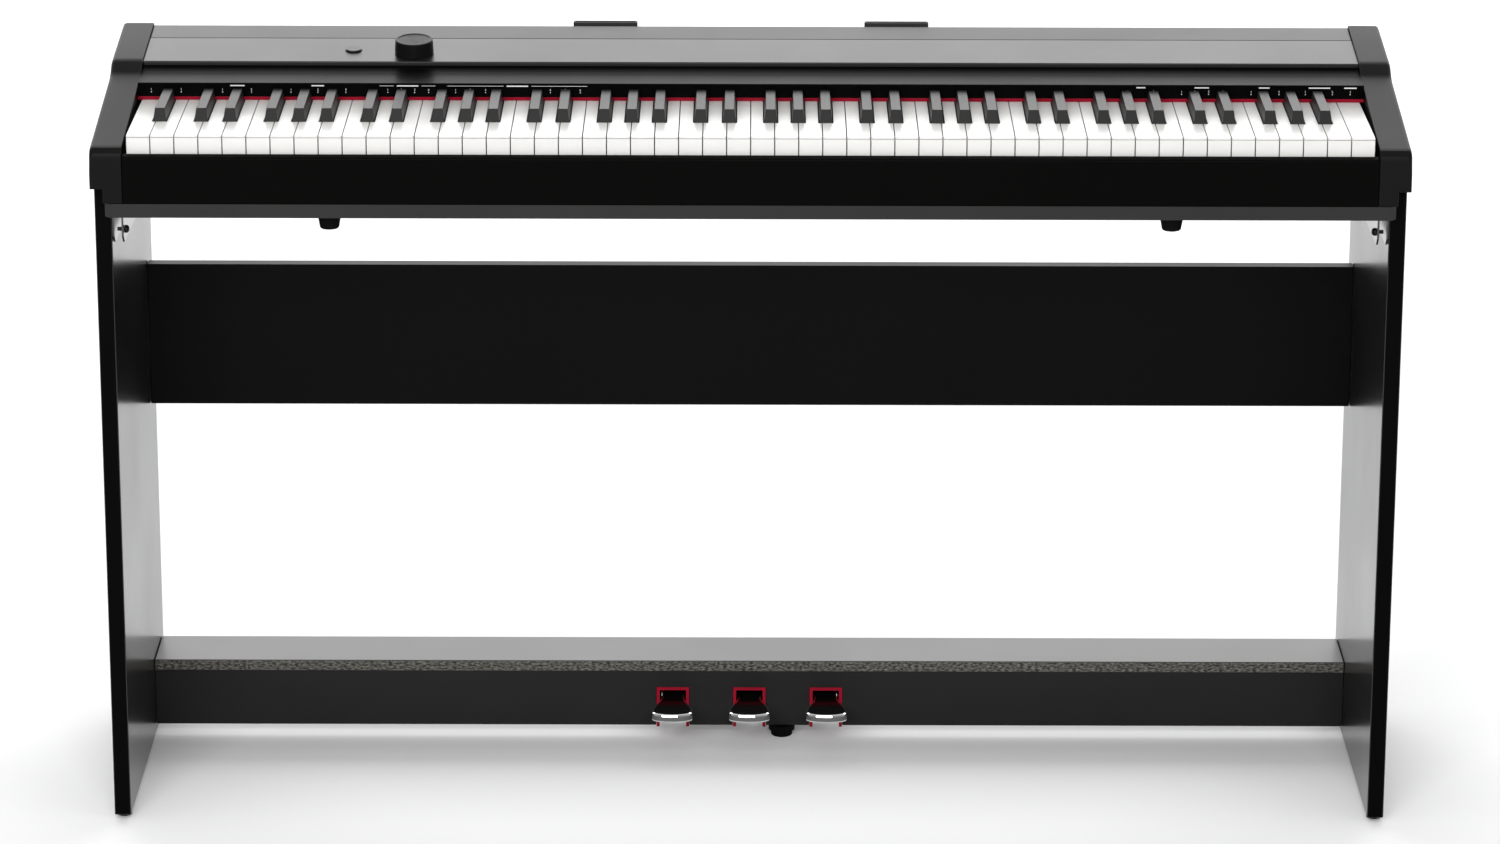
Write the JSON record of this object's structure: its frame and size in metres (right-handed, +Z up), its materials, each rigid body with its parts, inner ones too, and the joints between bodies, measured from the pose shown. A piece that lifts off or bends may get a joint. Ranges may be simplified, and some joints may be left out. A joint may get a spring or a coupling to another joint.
{
  "type": "digital piano",
  "caption": "Full size digital piano: slim slab with hinged keys, sloping panel with knob and button, board stand with pedals and a foot under the pedal board.",
  "frame": {"origin": "on the floor under the middle of the piano's length and depth", "axes": "+X to the player's right along the keyboard, +Y away from the player, +Z up"},
  "size_m": [1.2932, 0.36, 0.7651],
  "materials": {
    "shell_black": "satin black moulding",
    "panel_black": "smooth black moulding",
    "felt_red": "crimson felt",
    "circuit_board": "green circuit board",
    "control_grey": "dark grey spun finish",
    "rubber_black": "black rubber",
    "chassis_frame": "plain coated steel",
    "speaker_black": "black coated basket",
    "laminate_black": "black laminate on fibre board",
    "pedal_metal": "bright plated metal",
    "steel_dark": "plain steel",
    "key_white": "smooth ivory white",
    "key_black": "satin black"
  },
  "bodies": {
    "body": {"bottom_case": "shell_black", "rear_cover": "shell_black", "cheek_left": "shell_black", "cheek_right": "shell_black", "music_rest_holder_left": "shell_black", "music_rest_holder_right": "shell_black", "key_slip": "panel_black", "label_fascia": "panel_black", "control_panel": "panel_black", "jack_panel": "panel_black", "felt_strip": "felt_red", "pedal_felt_left": "felt_red", "pedal_felt_centre": "felt_red", "pedal_felt_right": "felt_red", "main_board": "circuit_board", "contact_board": "circuit_board", "slab_foot_front_left": "rubber_black", "slab_foot_front_right": "rubber_black", "slab_foot_rear_left": "rubber_black", "slab_foot_rear_right": "rubber_black", "key_chassis": "chassis_frame", "speaker_left": "speaker_black", "speaker_right": "speaker_black", "side_panel_left": "laminate_black", "side_panel_right": "laminate_black", "modesty_panel": "laminate_black", "pedal_shelf": "laminate_black", "pedal_front_board": "laminate_black", "pedal_base": "steel_dark", "pedal_rod": "steel_dark", "bracket_left": "steel_dark", "bracket_right": "steel_dark", "thumb_screw_left": "steel_dark", "thumb_screw_right": "steel_dark"},
    "white_keys_a0_b1": {"white_keys_a0_b1": "key_white"},
    "black_keys_a0_b1": {"black_keys_a0_b1": "key_black"},
    "white_keys_c2_b3": {"white_keys_c2_b3": "key_white"},
    "black_keys_c2_b3": {"black_keys_c2_b3": "key_black"},
    "white_keys_c5_b6": {"white_keys_c5_b6": "key_white"},
    "black_keys_c5_b6": {"black_keys_c5_b6": "key_black"},
    "white_keys_c7_c8": {"white_keys_c7_c8": "key_white"},
    "black_keys_c7_c8": {"black_keys_c7_c8": "key_black"},
    "white_key_c4": {"white_key_c4": "key_white"},
    "white_key_d4": {"white_key_d4": "key_white"},
    "white_key_e4": {"white_key_e4": "key_white"},
    "white_key_f4": {"white_key_f4": "key_white"},
    "white_key_g4": {"white_key_g4": "key_white"},
    "white_key_a4": {"white_key_a4": "key_white"},
    "white_key_b4": {"white_key_b4": "key_white"},
    "black_key_csharp4": {"black_key_csharp4": "key_black"},
    "black_key_dsharp4": {"black_key_dsharp4": "key_black"},
    "black_key_fsharp4": {"black_key_fsharp4": "key_black"},
    "black_key_gsharp4": {"black_key_gsharp4": "key_black"},
    "black_key_asharp4": {"black_key_asharp4": "key_black"},
    "pedal_left": {"pedal_left": "pedal_metal"},
    "pedal_centre": {"pedal_centre": "pedal_metal"},
    "pedal_right": {"pedal_right": "pedal_metal"},
    "volume_knob": {"volume_knob": "control_grey"},
    "power_button": {"power_button": "control_grey"},
    "adjuster_foot": {"adjuster_foot": "rubber_black"}
  },
  "joints": [
    {"name": "white_keys_a0_b1_hinge", "type": "hinge", "parent": "body", "child": "white_keys_a0_b1", "pos_m": [0, 0.055, 0.7055], "axis": [1, 0, 0], "range_deg": [0, 2.54], "stiffness_Nm_per_rad": 9, "springref_deg": -8.59},
    {"name": "black_keys_a0_b1_hinge", "type": "hinge", "parent": "body", "child": "black_keys_a0_b1", "pos_m": [0, 0.055, 0.7055], "axis": [1, 0, 0], "range_deg": [0, 3.25], "stiffness_Nm_per_rad": 4.8, "springref_deg": -8.59},
    {"name": "white_keys_c2_b3_hinge", "type": "hinge", "parent": "body", "child": "white_keys_c2_b3", "pos_m": [0, 0.055, 0.7055], "axis": [1, 0, 0], "range_deg": [0, 2.54], "stiffness_Nm_per_rad": 14, "springref_deg": -8.59},
    {"name": "black_keys_c2_b3_hinge", "type": "hinge", "parent": "body", "child": "black_keys_c2_b3", "pos_m": [0, 0.055, 0.7055], "axis": [1, 0, 0], "range_deg": [0, 3.25], "stiffness_Nm_per_rad": 8, "springref_deg": -8.59},
    {"name": "white_keys_c5_b6_hinge", "type": "hinge", "parent": "body", "child": "white_keys_c5_b6", "pos_m": [0, 0.055, 0.7055], "axis": [1, 0, 0], "range_deg": [0, 2.54], "stiffness_Nm_per_rad": 14, "springref_deg": -8.59},
    {"name": "black_keys_c5_b6_hinge", "type": "hinge", "parent": "body", "child": "black_keys_c5_b6", "pos_m": [0, 0.055, 0.7055], "axis": [1, 0, 0], "range_deg": [0, 3.25], "stiffness_Nm_per_rad": 8, "springref_deg": -8.59},
    {"name": "white_keys_c7_c8_hinge", "type": "hinge", "parent": "body", "child": "white_keys_c7_c8", "pos_m": [0, 0.055, 0.7055], "axis": [1, 0, 0], "range_deg": [0, 2.54], "stiffness_Nm_per_rad": 8, "springref_deg": -8.59},
    {"name": "black_keys_c7_c8_hinge", "type": "hinge", "parent": "body", "child": "black_keys_c7_c8", "pos_m": [0, 0.055, 0.7055], "axis": [1, 0, 0], "range_deg": [0, 3.25], "stiffness_Nm_per_rad": 4, "springref_deg": -8.59},
    {"name": "white_key_c4_hinge", "type": "hinge", "parent": "body", "child": "white_key_c4", "pos_m": [0, 0.055, 0.7055], "axis": [1, 0, 0], "range_deg": [0, 2.54], "stiffness_Nm_per_rad": 1, "springref_deg": -8.59},
    {"name": "white_key_d4_hinge", "type": "hinge", "parent": "body", "child": "white_key_d4", "pos_m": [0, 0.055, 0.7055], "axis": [1, 0, 0], "range_deg": [0, 2.54], "stiffness_Nm_per_rad": 1, "springref_deg": -8.59},
    {"name": "white_key_e4_hinge", "type": "hinge", "parent": "body", "child": "white_key_e4", "pos_m": [0, 0.055, 0.7055], "axis": [1, 0, 0], "range_deg": [0, 2.54], "stiffness_Nm_per_rad": 1, "springref_deg": -8.59},
    {"name": "white_key_f4_hinge", "type": "hinge", "parent": "body", "child": "white_key_f4", "pos_m": [0, 0.055, 0.7055], "axis": [1, 0, 0], "range_deg": [0, 2.54], "stiffness_Nm_per_rad": 1, "springref_deg": -8.59},
    {"name": "white_key_g4_hinge", "type": "hinge", "parent": "body", "child": "white_key_g4", "pos_m": [0, 0.055, 0.7055], "axis": [1, 0, 0], "range_deg": [0, 2.54], "stiffness_Nm_per_rad": 1, "springref_deg": -8.59},
    {"name": "white_key_a4_hinge", "type": "hinge", "parent": "body", "child": "white_key_a4", "pos_m": [0, 0.055, 0.7055], "axis": [1, 0, 0], "range_deg": [0, 2.54], "stiffness_Nm_per_rad": 1, "springref_deg": -8.59},
    {"name": "white_key_b4_hinge", "type": "hinge", "parent": "body", "child": "white_key_b4", "pos_m": [0, 0.055, 0.7055], "axis": [1, 0, 0], "range_deg": [0, 2.54], "stiffness_Nm_per_rad": 1, "springref_deg": -8.59},
    {"name": "black_key_csharp4_hinge", "type": "hinge", "parent": "body", "child": "black_key_csharp4", "pos_m": [0, 0.055, 0.7055], "axis": [1, 0, 0], "range_deg": [0, 3.25], "stiffness_Nm_per_rad": 0.8, "springref_deg": -8.59},
    {"name": "black_key_dsharp4_hinge", "type": "hinge", "parent": "body", "child": "black_key_dsharp4", "pos_m": [0, 0.055, 0.7055], "axis": [1, 0, 0], "range_deg": [0, 3.25], "stiffness_Nm_per_rad": 0.8, "springref_deg": -8.59},
    {"name": "black_key_fsharp4_hinge", "type": "hinge", "parent": "body", "child": "black_key_fsharp4", "pos_m": [0, 0.055, 0.7055], "axis": [1, 0, 0], "range_deg": [0, 3.25], "stiffness_Nm_per_rad": 0.8, "springref_deg": -8.59},
    {"name": "black_key_gsharp4_hinge", "type": "hinge", "parent": "body", "child": "black_key_gsharp4", "pos_m": [0, 0.055, 0.7055], "axis": [1, 0, 0], "range_deg": [0, 3.25], "stiffness_Nm_per_rad": 0.8, "springref_deg": -8.59},
    {"name": "black_key_asharp4_hinge", "type": "hinge", "parent": "body", "child": "black_key_asharp4", "pos_m": [0, 0.055, 0.7055], "axis": [1, 0, 0], "range_deg": [0, 3.25], "stiffness_Nm_per_rad": 0.8, "springref_deg": -8.59},
    {"name": "pedal_left_pivot", "type": "hinge", "parent": "body", "child": "pedal_left", "pos_m": [-0.081, 0.15, 0.0406], "axis": [1, 0, 0], "range_deg": [0, 5.2], "stiffness_Nm_per_rad": 10, "springref_deg": -3.44},
    {"name": "pedal_centre_pivot", "type": "hinge", "parent": "body", "child": "pedal_centre", "pos_m": [0, 0.15, 0.0406], "axis": [1, 0, 0], "range_deg": [0, 5.2], "stiffness_Nm_per_rad": 10, "springref_deg": -3.44},
    {"name": "pedal_right_pivot", "type": "hinge", "parent": "body", "child": "pedal_right", "pos_m": [0.081, 0.15, 0.0406], "axis": [1, 0, 0], "range_deg": [0, 5.2], "stiffness_Nm_per_rad": 10, "springref_deg": -3.44},
    {"name": "volume_knob_turn", "type": "hinge", "parent": "body", "child": "volume_knob", "pos_m": [-0.3419, 0.061, 0.74816], "axis": [0, -0.1133, 0.9936], "range_deg": [-150, 150]},
    {"name": "power_button_press", "type": "slide", "parent": "body", "child": "power_button", "axis": [0, 0.1133, -0.9936], "range_m": [0, 0.0015], "stiffness_N_per_m": 150, "springref_m": -0.002},
    {"name": "adjuster_foot_turn", "type": "hinge", "parent": "body", "child": "adjuster_foot", "pos_m": [0.0343, 0.0975, 0], "axis": [0, 0, 1], "continuous": true}
  ]
}
